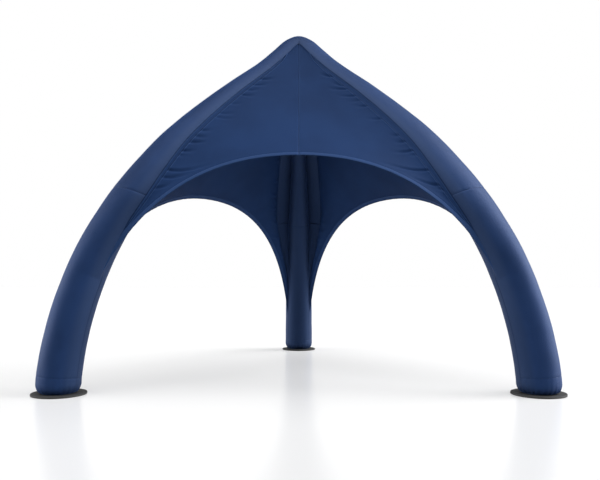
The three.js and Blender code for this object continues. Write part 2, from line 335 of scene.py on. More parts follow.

# Lines, painted shade and painted highlights in the cloth's colour: the distances at which they fade, and
# their strength
STITCH_FADE = (0.0010, 0.0045)
STITCH_TONE = 0.75
LOWER_SEAM_FADE = (0.003, 0.009)
LOWER_SEAM_TONE = 0.85
APEX_FRONT_SHADE = 0.60
HEM_LINE = (HEM_DEPTH - 0.004, HEM_DEPTH + 0.002)
HEM_LIGHT = 0.8
# Painted highlights along the felled lips and beside the seams: where they rise and fade, and their
# strength
LIP_BAND = (0.002, 0.006, 0.010, 0.016)
LIP_PAINTED_HIGHLIGHT = 0.60
SEAM_LIP_BAND = (0.004, 0.008, 0.012, 0.018)
SEAM_LIP_END = (-0.006, 0.0)
SEAM_LIP_PAINTED_HIGHLIGHT = 0.70

# Rubber of the plates
RUBBER_SHINE = {"IOR": 1.48}
RUBBER_ROUGHNESS = 0.50
SPECK_SCALE = 160.0
SPECK_DETAIL = 5.0
SPECK_ROUGHNESS = 0.25
SPECK_BUMP = 0.3
SPECK_DEPTH = 0.001
# Painted highlight on the plates' upper rim and top: scale and edges of its patches, the heights it spans,
# and its strength
PLATE_HIGHLIGHT_SCALE = 14.0
PLATE_HIGHLIGHT_EDGES = (0.35, 0.75)
PLATE_HIGHLIGHT_HEIGHTS = (0.45 * PLATE_HEIGHT, 0.8 * PLATE_HEIGHT)
PLATE_HIGHLIGHT_TONE = 0.35

# The floor
FLOOR_SIZE = 160
FLOOR_FRONT_END = (-3.4, -1.4)
FLOOR_GLOW = 0.575
FLOOR_GLOSS = 0.43
FLOOR_ROUGHNESS = 0.22

# Strength of the white surroundings: at both sides, and behind the tent in what shiny surfaces mirror
SIDE_LIGHT = 0.38
SIDE_SPREAD = (0.5, 0.95)
MIRRORED_LIGHT = 0.60
MIRRORED_BACK = (-0.2, 0.4)
MIRRORED_TOP = (0.25, 0.5)

# Broad soft lights far away, which fall evenly over the floor: direction of the light's source, strength
# and spread in degrees
SOFT_LIGHTS = {
    "overhead": ((0.0, -0.35, 1.0), 1.70, 60),
    "right_low": ((1.0, 0.05, 0.08), 1.75, 45),
    "left_low": ((-1.0, 0.05, 0.08), 1.55, 45),
    "right_high": ((1.0, 0.15, 0.75), 1.60, 45),
}


def smooth_step(low, high, value):
    share = np.clip((value - low) / (high - low), 0, 1)
    return share * share * (3 - 2 * share)


def bump(distance, width):
    return np.exp(-(distance / width) ** 2)


# Uneven waves: the sum of a few sines whose periods have no common measure
def ripple(place, period, phase):
    place = 2 * math.pi * place
    total = sum(size * np.sin(place * rate / period + phase + turn) for rate, turn, size in WAVES)
    return total / sum(size for _, _, size in WAVES)


# The same round a tube: the numbers of waves are whole, so that the ends meet
def round_ripple(angle, count, phase):
    waves = [(round(count * rate), turn, size) for rate, turn, size in ROUND_WAVES]
    total = sum(size * np.sin(number * angle + phase + turn) for number, turn, size in waves)
    return total / sum(size for _, _, size in waves)


def size_of(vectors):
    return np.linalg.norm(vectors, axis=-1, keepdims=True)


def turned(points, degrees):
    turn = math.radians(degrees)
    x, y, z = points[..., 0], points[..., 1], points[..., 2]
    cosine = math.cos(turn)
    sine = math.sin(turn)
    return np.stack([cosine * x - sine * y, sine * x + cosine * y, z], -1)


def placed(points, degrees):
    return turned(points, degrees) + np.array([0, TENT_AXIS_Y, 0])


# The leg's centre line: a smooth curve through the sections, upright at the foot and level at the apex
def leg_line(section):
    below = LEG_SECTIONS[1] * (1, -1, 1)
    beyond = LEG_SECTIONS[-2] * (-1, 1, 1)
    rows = np.vstack([below, LEG_SECTIONS, beyond])
    spot = np.asarray(section, float) + 1
    first = np.clip(np.floor(spot).astype(int), 1, len(rows) - 3)
    share = (spot - first)[..., None]
    before, start, end, after = (rows[first + step] for step in (-1, 0, 1, 2))
    pairs = ((before, start), (start, end), (end, after))
    spans = [np.sqrt(size_of(b - a)) for a, b in pairs]
    leave = (start - before) / spans[0] - (end - before) / (spans[0] + spans[1]) + (end - start) / spans[1]
    arrive = (end - start) / spans[1] - (after - start) / (spans[1] + spans[2]) + (after - end) / spans[2]
    leave = leave * spans[1]
    arrive = arrive * spans[1]
    square = 3 * (end - start) - 2 * leave - arrive
    cube = 2 * (start - end) + leave + arrive
    centre = start + leave * share + square * share**2 + cube * share**3
    slope = (leave + 2 * square * share + 3 * cube * share**2)[..., :2]
    tangent = slope / size_of(slope)
    return centre[..., :2], tangent, centre[..., 2]


# Length along a line of points, from its first point to each
def running_length(points):
    return np.concatenate([[0], np.cumsum(np.linalg.norm(np.diff(points, axis=0), axis=1))])


# Points at set lengths along a line of points
def along_line(length, lengths, points):
    return np.stack([np.interp(length, lengths, points[:, axis]) for axis in range(3)], -1)


# Running length up the leg, for any section and back
LINE_SECTIONS = np.linspace(0, APEX + 1, (APEX + 1) * SAMPLES_PER_SECTION + 1)
LINE_RUNS = running_length(leg_line(LINE_SECTIONS)[0])


def run_at(section):
    return float(np.interp(section, LINE_SECTIONS, LINE_RUNS))


def section_at(run):
    return np.interp(run, LINE_RUNS, LINE_SECTIONS)


BOOT_RUN = run_at(BOOT_SEAM)
CROSS_RUN = run_at(CROSS_SEAM)
APEX_RUN = run_at(APEX)
ROUND_SEAMS = ((BOOT_RUN, BOOT_SEAM_WEIGHT), (CROSS_RUN, 1.0))


# How much of the flare a section has: none up to FLARE_START, all of it from FLARE_END up
def flare_share(section):
    left = np.clip((FLARE_END - section) / (FLARE_END - FLARE_START), 0, 1)
    return 1 - left**FLARE_EASE


# Where the panel seams lie on a leg's cross-section: out from its centre and to the side
def seam_place(section):
    radius = leg_line(section)[2]
    share = flare_share(section)
    out = radius * (math.cos(LONG_SEAM_ANGLE) + FLARE_OUTWARDS * share)
    side = radius * (math.sin(LONG_SEAM_ANGLE) + FLARE_SIDEWAYS * share)
    return out, side


# Where the flank behind a seam meets the round inner side
def crease_place(section):
    radius = leg_line(section)[2]
    share = flare_share(section)
    out = radius * (math.cos(CREASE_ANGLE) + CREASE_OUTWARDS * share)
    side = radius * (math.sin(CREASE_ANGLE) + CREASE_SIDEWAYS * share * (1 - share))
    return out, side


# Points on the arc that crosses the leg's mid-plane at the tip and ends at the corner, where the share
# is 1. Each row has the place, the normal and the length that is left to the corner.
def arc_place(tip, corner, share):
    corner_out, corner_side = corner
    sense = np.sign(tip)
    rise = sense * (tip - corner_out)
    arc = (rise**2 + corner_side**2) / (2 * rise)
    whole = np.arctan2(corner_side, arc - rise)
    turn = share * whole
    place = [tip - sense * arc * (1 - np.cos(turn)), arc * np.sin(turn)]
    return np.stack([*place, sense * np.cos(turn), np.sin(turn), arc * (whole - turn)])


# A leg's cross-section, by the angle round from the outer ridge: an outer arc between the panel seams, an
# inner one between the creases and a flank on each side. It gives the place and the normal, both out and
# sideways, and the distance round from the panel seam, which is negative on the outer side.
def cross_section(section, angle):
    radius = leg_line(section)[2]
    around = np.abs(angle)
    seam = seam_place(section)
    crease = crease_place(section)
    outer = arc_place(radius, seam, np.minimum(around / LONG_SEAM_ANGLE, 1))
    inner = arc_place(-radius, crease, np.minimum((math.pi - around) / (math.pi - CREASE_ANGLE), 1))
    step_out = crease[0] - seam[0]
    step_side = crease[1] - seam[1]
    span = np.hypot(step_out, step_side)
    share = np.clip((around - LONG_SEAM_ANGLE) / (CREASE_ANGLE - LONG_SEAM_ANGLE), 0, 1)
    swell = radius * (1 - math.cos((CREASE_ANGLE - LONG_SEAM_ANGLE) / 2)) * (1 - flare_share(section))
    swell = swell * 4 * share * (1 - share)
    normal = [step_side / span, -step_out / span]
    place_out = seam[0] + step_out * share + normal[0] * swell
    place_side = seam[1] + step_side * share + normal[1] * swell
    flank = np.stack([place_out, place_side, *normal, share * span])
    outer[4] *= -1
    inner[4] += span
    on_outer = around <= LONG_SEAM_ANGLE + ANGLE_SLACK
    on_inner = around >= CREASE_ANGLE - ANGLE_SLACK
    rows = np.where(on_outer, outer, np.where(on_inner, inner, flank))
    out, side, normal_out, normal_side, beside = rows
    sense = np.sign(angle)
    return out, side * sense, normal_out, normal_side * sense, beside


# Points on a leg's tube, in the leg's frame: x outwards, y sideways, z up
def leg_points(run, angle, lift):
    section = section_at(run)
    centre, tangent, radius = leg_line(section)
    out, side, normal_out, normal_side, _ = cross_section(section, angle)
    lean = np.clip(1 - np.abs(run - CROSS_RUN) / CROSS_SEAM_FADE, 0, 1)
    slide = -CROSS_SEAM_DROP * out / radius * lean
    out = out + normal_out * lift
    side = side + normal_side * lift
    reach = centre[..., 0] + tangent[..., 1] * out + tangent[..., 0] * slide
    height = centre[..., 1] - tangent[..., 0] * out + tangent[..., 1] * slide
    return np.stack([reach, side, height], -1)


# How strongly the seam beside a panel shows: not at the panel's tip, fully beside the panel, and not at
# the apex
def shown_seam(tip, section):
    return smooth_step(*SEAM_FADE, section - tip) * (1 - smooth_step(*TOP_FADE, section))


def faces_front(angle, leg):
    return np.sign(angle) == FRONT_SIDE[leg]


def seam_strength(section, angle, leg):
    tip = np.where(faces_front(angle, leg), PANELS["front"]["tip"], PANELS["rear_left"]["tip"])
    return shown_seam(tip, section)


# The leg cover's relief: sewn grooves along and round the tube, felled edges, puckers and soft unevenness
def leg_relief(run, angle, leg, phase):
    section = section_at(run)
    beside = cross_section(section, angle)[4]
    pull = 1 + SEAM_PULL * ripple(run, SEAM_PULL_PERIOD, phase)
    strength = seam_strength(section, angle, leg)
    depth = LONG_SEAM_DEPTH * (1 - FLARED_SEAM_EASE * flare_share(section)) * strength
    relief = -depth * pull * bump(beside, LONG_SEAM_WIDTH)
    felled = smooth_step(FELL_START, FELL_WIDTH / 2, beside)
    felled = felled * (1 - smooth_step(FELL_WIDTH, FELL_WIDTH + FELL_START, beside))
    relief += FELL_HEIGHT * felled * strength
    puckers = SIDE_PUCKER_HEIGHT * strength * np.exp(-np.abs(beside) / SIDE_PUCKER_REACH)
    relief += puckers * ripple(run, SIDE_PUCKER_PERIOD, phase)
    for seam_run, weight in ROUND_SEAMS:
        away = np.abs(run - seam_run)
        relief -= ROUND_SEAM_DEPTH * weight * bump(away, ROUND_SEAM_WIDTH)
        gathered = PUCKER_HEIGHT * np.exp(-away / PUCKER_REACH)
        relief += gathered * round_ripple(angle, PUCKER_COUNT, phase + seam_run)
    turns = (np.sin(angle), np.cos(angle))
    waves = [ripple(run, period, phase + sway * turn) for (period, sway), turn in zip(LEG_WAVES, turns)]
    return relief + LEG_UNEVENNESS * sum(waves) / 2


# Distance from the nearest row of stitches, larger where a seam shows less
def seam_distance(run, angle, leg):
    section = section_at(run)
    hidden = 1 - seam_strength(section, angle, leg)
    faint = FLARED_SEAM_GAP * flare_share(section)
    gaps = [np.abs(cross_section(section, angle)[4]) + HIDDEN_SEAM * hidden + faint]
    gaps += [np.abs(run - seam_run) + FAINT_SEAM * (1 - weight) for seam_run, weight in ROUND_SEAMS]
    return np.minimum.reduce(gaps)


# Distance from the long seam, with its sign. Below the panels the seam runs a little further round the
# tube.
def long_seam_side(run, angle, leg):
    section = section_at(run)
    below = section < TOP_FADE[0]
    shift = np.where(below, LOWER_SEAM_SHIFT * (1 - seam_strength(section, angle, leg)), HIDDEN_SEAM)
    return cross_section(section, angle)[4] - shift


# How far a place lies on the front of the apex, where painted shade darkens the cloth
def apex_front(run, angle, leg):
    beside_ridge = smooth_step(*APEX_FRONT_ANGLES, np.abs(angle))
    return faces_front(angle, leg) * beside_ridge * smooth_step(*APEX_FRONT_SECTIONS, section_at(run))


# What the cloth's colour follows: the seams, painted shade on the front of the apex, and a painted
# reflection on the inner side, greyer and darker, with painted light higher up on the front legs
def leg_attributes(run, angle, leg):
    return {
        "seam_gap": seam_distance(run, angle, leg),
        "long_seam": long_seam_side(run, angle, leg),
        "apex_front": apex_front(run, angle, leg),
        "inside": smooth_step(*INSIDE_ANGLES[leg], np.abs(angle)),
        "upper_inside": (leg != "rear") * smooth_step(*UPPER_INSIDE_SECTIONS, section_at(run)),
    }


def add_mesh(name, points, faces):
    mesh = bpy.data.meshes.new(name)
    mesh.from_pydata(points.tolist(), [], faces)
    mesh.validate()
    piece = bpy.data.objects.new(name, mesh)
    bpy.context.scene.collection.objects.link(piece)
    mesh.shade_smooth()
    return piece


def add_attribute(piece, name, values):
    layer = piece.data.attributes.new(name, "FLOAT", "POINT")
    layer.data.foreach_set("value", np.asarray(values, np.float32).ravel())


def add_pattern_map(piece, corner_places):
    layer = piece.data.uv_layers.new(name="cloth")
    layer.data.foreach_set("uv", np.asarray(corner_places, np.float32).ravel())


# The four corners of each cell of a grid
def cells(grid):
    return np.stack([grid[:-1, :-1], grid[:-1, 1:], grid[1:, 1:], grid[1:, :-1]], 2)


# A closed tube through a grid of points, one row a ring, with a middle point at each end.
# The cloth map runs round the tube and along it, in metres.
def tube_piece(name, grid, along, attributes):
    rings, sides = grid.shape[:2]
    ends = np.stack([grid[0].mean(0), grid[-1].mean(0)])
    points = np.concatenate([grid.reshape(-1, 3), ends])
    index = np.arange(rings * sides).reshape(rings, sides)
    after = np.roll(index, -1, axis=1)
    walls = np.stack([index[:-1], after[:-1], after[1:], index[1:]], -1).reshape(-1, 4)
    bottom = np.stack([np.full(sides, rings * sides), after[0], index[0]], -1)
    top = np.stack([np.full(sides, rings * sides + 1), index[-1], after[-1]], -1)
    piece = add_mesh(name, points, walls.tolist() + bottom.tolist() + top.tolist())
    steps = np.linalg.norm(np.roll(grid, -1, axis=1) - grid, axis=2)
    wide = np.concatenate([np.zeros((rings, 1)), np.cumsum(steps, 1)], 1)
    wide = wide - wide[:, sides // 2, None]
    tall = np.concatenate([along, along[:, :1]], 1)
    place = np.stack([wide, tall], -1)
    cap_map = np.zeros((2 * sides * 3, 2))
    add_pattern_map(piece, np.concatenate([cells(place).reshape(-1, 2), cap_map]))
    for attribute_name, values in attributes.items():
        add_attribute(piece, attribute_name, np.concatenate([values.ravel(), [1.0, 1.0]]))
    return piece


# Angles round a tube, from its inner side round the outer ridge
def ring_angles():
    return 2 * math.pi * np.arange(TUBE_SIDES) / TUBE_SIDES - math.pi


# One cover of a leg, from its grid of points and their runs and angles
def add_leg_piece(node, leg, grid, run, angle):
    piece = tube_piece(f"{node}_cover", grid, run, leg_attributes(run, angle, leg))
    piece.data.materials.append(LEG_CLOTH)
    points = np.array([vertex.co for vertex in piece.data.vertices])
    piece.data.vertices.foreach_set("co", placed(points, LEG_ANGLES[leg]).ravel())
    piece.data.update()
    piece.data.set_sharp_from_angle(angle=SHARP_ANGLE)
    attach(piece, "root")
    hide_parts(node)


# The boot: a flat sole, a gathered rounded edge and a short upright wall up to its seam
def make_boot(leg, phase):
    turn = np.linspace(0, math.pi / 2, BOOT_ROUND_STEPS)
    sole = PLATE_HEIGHT + PIECE_GAP
    edge_heights = sole + BOOT_ROUND_HEIGHT * (1 - np.cos(turn))
    edge_insets = BOOT_ROUNDING * (1 - np.sin(turn))
    count = int((BOOT_RUN - edge_heights[-1]) / RING_SPACING) * 2
    wall_heights = np.linspace(edge_heights[-1], BOOT_RUN - PIECE_GAP, count)
    heights = np.concatenate([edge_heights, wall_heights[1:]])
    insets = np.concatenate([edge_insets, np.zeros(count - 1)])
    angle, run = np.meshgrid(ring_angles(), heights)
    above_sole = run - sole
    gather = GATHER_HEIGHT * np.exp(-np.abs(above_sole - GATHER_PLACE) / GATHER_REACH)
    gather = gather * round_ripple(angle, GATHER_COUNT, phase) * smooth_step(0, GATHER_START, above_sole)
    relief = leg_relief(run, angle, leg, phase) + gather
    grid = leg_points(run, angle, relief - insets[:, None])
    level = 1 - smooth_step(edge_heights[-1], BOOT_RUN, run)
    grid[..., 2] += (np.maximum(run, sole) - grid[..., 2]) * level
    add_leg_piece(f"boot_{leg}", leg, grid, run, angle)


# A leg's cover from a seam up to its ends, one for each line along the tube
def make_cover(node, leg, start, ends, count, phase):
    run = start + (ends - start) * np.linspace(0, 1, count)[:, None]
    angle = np.broadcast_to(ring_angles(), run.shape)
    grid = leg_points(run, angle, leg_relief(run, angle, leg, phase))
    add_leg_piece(node, leg, grid, run, angle)


def make_lower_leg(leg, phase):
    ends = np.full(TUBE_SIDES, CROSS_RUN - PIECE_GAP)
    count = int((CROSS_RUN - BOOT_RUN) / RING_SPACING)
    make_cover(f"leg_lower_{leg}", leg, BOOT_RUN, ends, count, phase)


# Where each line along the tube meets the upright mitre between two legs at the apex
def mitre_runs(angles):
    half_bay = math.radians(HALF_BAY)
    tip = PIECE_GAP / 2 / math.sin(half_bay)
    runs = np.linspace(APEX_RUN + MITRE_REACH[0], APEX_RUN + MITRE_REACH[1], MITRE_SAMPLES)
    angle, run = np.meshgrid(angles, runs)
    points = leg_points(run, angle, 0)
    inside = points[..., 0] - tip - np.abs(points[..., 1]) / math.tan(half_bay)
    return np.array([np.interp(0, -inside[:, side], runs) for side in range(len(angles))])


def make_upper_leg(leg, phase):
    count = int((APEX_RUN - CROSS_RUN) / RING_SPACING)
    make_cover(f"leg_upper_{leg}", leg, CROSS_RUN, mitre_runs(ring_angles()), count, phase)


# One roof panel in its own frame: x outwards, y along the panel, z up
class RoofPanel:
    def __init__(self, row, grid):
        self.rows, self.columns = grid
        self.tip = row["tip"]
        self.sections = np.linspace(self.tip, PANEL_TOP_SECTION, SEAM_SAMPLES)
        centre, tangent, _ = leg_line(self.sections)
        out, side = seam_place(self.sections)
        reach = centre[:, 0] + tangent[:, 1] * out
        height = centre[:, 1] - tangent[:, 0] * out
        self.seam = turned(np.stack([reach, -side + PANEL_TUCK, height], -1), HALF_BAY)
        self.lengths = running_length(self.seam)
        self.first_row = float(np.interp(self.tip + SIDE_ROW_STEP, self.sections, self.lengths))
        self.crown = np.array([HEM_REACH, 0, row["crown"]])
        self.rise = self.seam[-1] * (1, 0, 1) - self.crown
        self.slope = self.rise / np.linalg.norm(self.rise)
        self.inwards = np.array([-self.slope[2], 0, self.slope[0]])
        share = np.linspace(0, 1, HEM_SAMPLES)[:, None]
        corner = np.array([HEM_REACH, row["shoulder"], row["crown"]])
        self.hem = (1 - share) ** 2 * self.crown + 2 * share * (1 - share) * corner
        self.hem = self.hem + share**2 * self.seam[0]
        self.hem_lengths = running_length(self.hem)

    def side(self, up):
        return along_line(up * self.lengths[-1], self.lengths, self.seam)

    def middle(self, up):
        length = up * self.lengths[-1]
        hem_share = HEM_DEPTH / np.linalg.norm(self.rise)
        above = np.clip((length - self.first_row) / (self.lengths[-1] - self.first_row), 0, None)
        lower = hem_share * length / self.first_row
        share = np.where(length < self.first_row, lower, hem_share + (1 - hem_share) * above**ROW_BIAS)
        sag = 4 * PANEL_SAG * share * (1 - share)
        return self.crown + share[..., None] * self.rise + sag[..., None] * self.inwards

    def arched(self, side, middle, across):
        lift = 1 - across**2
        reach = side[..., 0] + (middle[..., 0] - side[..., 0]) * lift
        height = side[..., 2] + (middle[..., 2] - side[..., 2]) * lift
        return np.stack([reach, side[..., 1] * across, height], -1)

    def points(self, across, up):
        hem = along_line(np.abs(across) * self.hem_lengths[-1], self.hem_lengths, self.hem)
        hem[..., 1] *= np.sign(across)
        start = np.zeros_like(up)
        shift = hem - self.arched(self.side(start), self.middle(start), across)
        fade = (1 - up) ** HEM_FADE
        return self.arched(self.side(up), self.middle(up), across) + shift * fade[..., None]

    # Distance of each point from the side seam, and how far up the seam the nearest place on it is
    def seam_distance(self, points):
        sparse = self.seam[::SEAM_STRIDE]
        shares = self.lengths[::SEAM_STRIDE] / self.lengths[-1]
        gaps = np.linalg.norm(points[:, :, None] - sparse, axis=3)
        return gaps.min(2), shares[gaps.argmin(2)]

    # How strongly the seam shows, from nothing at the tip, and how far the leg flares out beside it
    def seam_strength(self, up):
        section = np.interp(up * self.lengths[-1], self.lengths, self.sections)
        return shown_seam(self.tip, section), flare_share(section)

    # Width of the felled strip inside the seam: a long leaf shape
    def strip_width(self, up, widest):
        leaf = np.sin(math.pi * np.clip((up - STRIP_START) / STRIP_SPAN, 0, 1)) ** STRIP_TAPER
        return STRIP_LEAST_WIDTH + (widest - STRIP_LEAST_WIDTH) * leaf

    # Place across a row for a column: the columns are closer together beside the seam
    def across(self, column, up):
        share = column / self.columns
        eased = (1 + COLUMN_EASE) * share**COLUMN_POWER - COLUMN_EASE * share ** (COLUMN_POWER + 1)
        return np.full_like(up, 1 - eased)

    def hem_distance(self, points):
        sparse = self.hem[::HEM_STRIDE]
        gaps = np.linalg.norm(points[:, None] - sparse[None], axis=2)
        return gaps.min(1)

    # Rows of one half from the hem up: the first lie at set distances from it, the rest share the height
    def half_grid(self):
        ups = np.linspace(0, HEM_SEARCH_TOP, HEM_SEARCH_SAMPLES)
        columns = np.arange(self.columns + 1)
        across_rows = []
        up_rows = []
        for column in columns:
            across = self.across(column, ups)
            gaps = np.maximum.accumulate(self.hem_distance(self.points(across, ups)))
            hem_ups = np.interp(HEM_ROWS, gaps, ups)
            hem_ups[0] = 0
            rest = np.linspace(0, 1, self.rows - len(HEM_ROWS) + 1)[1:]
            up = np.concatenate([hem_ups, hem_ups[-1] + (1 - hem_ups[-1]) * rest])
            across_rows.append(self.across(column, up))
            up_rows.append(up)
        return np.stack(across_rows, 1), np.stack(up_rows, 1)


# A crease is a trough with low ridges beside it. It is narrow at the seam, widens and fades inwards.
def crease_relief(side, height, creases):
    relief = np.zeros_like(side)
    for start_side, start_height, end_side, end_height, depth in creases:
        along = np.array([end_side - start_side, end_height - start_height])
        length = np.hypot(*along)
        along = along / length
        ahead = ((side - start_side) * along[0] + (height - start_height) * along[1]) / length
        beside = (height - start_height) * along[0] - (side - start_side) * along[1]
        within = np.clip(ahead, 0, 1)
        bow = CREASE_BOW * length * np.sin(math.pi * within) * np.sign(along[0])
        width = CREASE_WIDTH * (CREASE_NARROW + CREASE_SPREAD * within)
        reach = ((beside + bow) / width) ** 2
        fade = smooth_step(*CREASE_START, ahead) * (1 - smooth_step(*CREASE_END, ahead))
        relief -= CREASE_GAIN * depth * fade * (1 - CREASE_RIDGE * reach) * np.exp(-reach)
    return relief


# Short creases from both seams of a rear panel, spaced unevenly
def rear_creases(panel, seed):
    draw = np.random.default_rng(seed)
    creases = []
    for sense in (-1, 1):
        ups = np.sort(draw.uniform(*REAR_CREASE_SPAN, REAR_CREASE_COUNT))
        for up in ups:
            seam = panel.side(np.array(up))
            side = sense * (abs(seam[1]) - REAR_CREASE_INSET)
            height = float((seam - panel.crown) @ panel.slope)
            lengthening = REAR_TIP_LENGTHENING if up < REAR_TIP_END else 1.0
            length = draw.uniform(*REAR_CREASE_LENGTHS) * lengthening
            drop = draw.uniform(*REAR_CREASE_DROPS)
            depth = REAR_CREASE_DEPTH * draw.uniform(*REAR_CREASE_DEPTHS)
            creases.append((side, height, side - sense * length, height + drop, depth))
    return creases


def grid_normals(points):
    normals = np.cross(np.gradient(points, axis=1), np.gradient(points, axis=0))
    return normals / np.maximum(size_of(normals), LEAST_LENGTH)


# A closed sheet from its outer and inner grids
def sheet_piece(name, outer, inner, places, gaps):
    rows, columns = outer.shape[:2]
    count = rows * columns
    index = np.arange(count).reshape(rows, columns)
    face = cells(index).reshape(-1, 4)
    rim = np.concatenate([index[0], index[1:, -1], index[-1, -2::-1], index[-2:0:-1, 0]])
    after = np.roll(rim, -1)
    edge = np.stack([rim, rim + count, after + count, after], -1)
    faces = np.concatenate([face, face[:, ::-1] + count, edge])
    piece = add_mesh(name, np.concatenate([outer.reshape(-1, 3), inner.reshape(-1, 3)]), faces.tolist())
    add_pattern_map(piece, np.tile(places.reshape(-1, 2), (2, 1))[faces.ravel()])
    for gap_name, gap in gaps.items():
        add_attribute(piece, gap_name, np.tile(gap.ravel(), 2))
    return piece


# Relief of a panel along its outward normal: the side strips, which lie low behind a felled lip, the
# rolled hem, soft waves and creases
def panel_relief(side, height, inward, edge, sewn, hem_gap, creases, phase):
    pull = 1 + STRIP_PULL * ripple(height, STRIP_PULL_PERIOD, phase)
    strip = smooth_step(0, STRIP_SLOPE, inward) * (1 - smooth_step(-STRIP_SLOPE, 0, edge))
    relief = -STRIP_DEPTH * pull * strip
    relief += LIP_HEIGHT * pull * bump(edge - LIP_PLACE, LIP_WIDTH)
    relief -= SEAM_GROOVE * sewn * bump(inward, GROOVE_WIDTH)
    roll = np.clip(1 - ((hem_gap - HEM_DEPTH / 2) / (HEM_DEPTH / 2)) ** 2, 0, None)
    relief += HEM_ROLL * np.sqrt(roll)
    relief -= HEM_GROOVE * bump(hem_gap - HEM_DEPTH, GROOVE_WIDTH)
    free = smooth_step(0, FREE_CLOTH, inward) * smooth_step(HEM_DEPTH, FREE_CLOTH, hem_gap)
    relief += PANEL_UNEVENNESS * free * ripple(side + WAVE_SLANT * height, WAVE_PERIOD, phase)
    calm = smooth_step(*HEM_CALM, hem_gap) * smooth_step(-STRIP_SLOPE, STRIP_SLOPE, edge)
    return relief + crease_relief(side, height, creases) * calm


# One half of a panel as grids: points, relief, cloth map, distance from the hem, from the strip's inner
# edge and from the nearest seam
def panel_half(panel, sense, creases, phase, strip):
    across, up = panel.half_grid()
    points = panel.points(across * sense, up)
    inward, seam_up = panel.seam_distance(points * (1, sense, 1))
    shown, flare = panel.seam_strength(seam_up)
    edge = inward - panel.strip_width(seam_up, strip) + HIDDEN_SEAM * (1 - shown)
    hem_gap = panel.hem_distance((points * (1, sense, 1)).reshape(-1, 3)).reshape(up.shape)
    hem_gap[:len(HEM_ROWS)] = np.array(HEM_ROWS)[:, None]
    side = points[..., 1]
    height = (points - panel.crown) @ panel.slope
    relief = panel_relief(side, height, inward, edge, shown * (1 - flare), hem_gap, creases, phase)
    seam_gap = inward + FLARED_SEAM_GAP * flare + HIDDEN_SEAM * (1 - shown)
    return points, relief, np.stack([side, height], -1), hem_gap, edge, seam_gap


def finish_panel(piece, nodes):
    piece.data.materials.append(ROOF_CLOTH)
    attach(piece, "root")
    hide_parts(*nodes)


# A panel's sheet around its middle surface, thicker at the hem
def layered(name, points, relief, places, hem_gap, strip_edge, seam_gap, angle):
    normals = grid_normals(points)
    if normals[..., 0].mean() < 0:
        normals = -normals
    thickness = np.where(hem_gap < HEM_DEPTH, HEM_THICKNESS, CLOTH_THICKNESS)
    outer = points + normals * (relief + thickness / 2)[..., None]
    inner = points + normals * (relief - thickness / 2)[..., None]
    gaps = {"hem_gap": hem_gap, "strip_edge": strip_edge, "seam_gap": seam_gap}
    return sheet_piece(name, placed(outer, angle), placed(inner, angle), places, gaps)


def make_front_panel(row):
    panel = RoofPanel(row, FRONT_GRID)
    for side, sense in (("left", -1), ("right", 1)):
        creases = [crease for crease in FRONT_CREASES if crease[0] * sense > 0]
        half = panel_half(panel, sense, creases, FRONT_WAVE_PHASE, STRIP_WIDTHS[side])
        points, relief, places, hem_gap, edge, seam_gap = half
        from_centre = np.abs(places[..., 0])
        relief = relief - SEAM_GROOVE * bump(from_centre, GROOVE_WIDTH)
        seam_gap = np.minimum(seam_gap, from_centre + CENTRE_SEAM_GAP)
        if sense > 0:
            edge = np.minimum(edge, from_centre + CENTRE_SEAM_GAP)
        points[:, -1, 1] = sense * PIECE_GAP / 2
        grids = [grid[:, ::-sense] for grid in (points, relief, places, hem_gap, edge, seam_gap)]
        piece = layered(f"panel_front_{side}_cloth", *grids, row["angle"])
        finish_panel(piece, [f"panel_front_{side}"])


def make_rear_panel(name, row):
    panel = RoofPanel(row, REAR_GRID)
    creases = rear_creases(panel, REAR_CREASE_SEEDS[name])
    phase = REAR_CREASE_SEEDS[name]
    halves = [panel_half(panel, sense, creases, phase, STRIP_WIDTHS["rear"]) for sense in (-1, 1)]
    grids = [np.concatenate([left, right[:, -2::-1]], 1) for left, right in zip(*halves)]
    piece = layered(f"panel_{name}_cloth", *grids, row["angle"])
    finish_panel(piece, [f"panel_{name}"])


# Base plate: a disc with a rounded rim and a shallow groove inside it
def make_plate(leg):
    foot = FEET[f"foot_{leg}"]
    bpy.ops.object.select_all(action="DESELECT")
    middle = (foot[0], foot[1], PLATE_HEIGHT / 2)
    bpy.ops.mesh.primitive_cylinder_add(
        vertices=PLATE_SIDES, radius=PLATE_RADIUS, depth=PLATE_HEIGHT, location=middle)
    plate = bpy.context.active_object
    plate.name = f"base_plate_{leg}_disc"
    bpy.ops.object.mode_set(mode="EDIT")
    bpy.ops.mesh.select_mode(type="FACE")
    bpy.ops.mesh.select_all(action="DESELECT")
    bpy.ops.object.mode_set(mode="OBJECT")
    for face in plate.data.polygons:
        face.select = face.normal.z > TOP_FACE
    bpy.ops.object.mode_set(mode="EDIT")
    for thickness, depth in PLATE_INSETS:
        bpy.ops.mesh.inset(thickness=thickness, depth=depth)
    bpy.ops.object.mode_set(mode="OBJECT")
    bpy.ops.object.transform_apply(location=True, rotation=True, scale=True)
    bevel = plate.modifiers.new("rim", "BEVEL")
    bevel.width = PLATE_BEVEL
    bevel.segments = PLATE_BEVEL_STEPS
    bevel.limit_method = "ANGLE"
    bevel.angle_limit = SHARP_ANGLE
    bpy.ops.object.modifier_apply(modifier=bevel.name)
    bpy.ops.object.shade_smooth_by_angle(angle=PLATE_SMOOTH_ANGLE)
    plate.data.materials.clear()
    plate.data.materials.append(PLATE_RUBBER)
    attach(plate, "root")
    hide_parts(f"base_plate_{leg}")


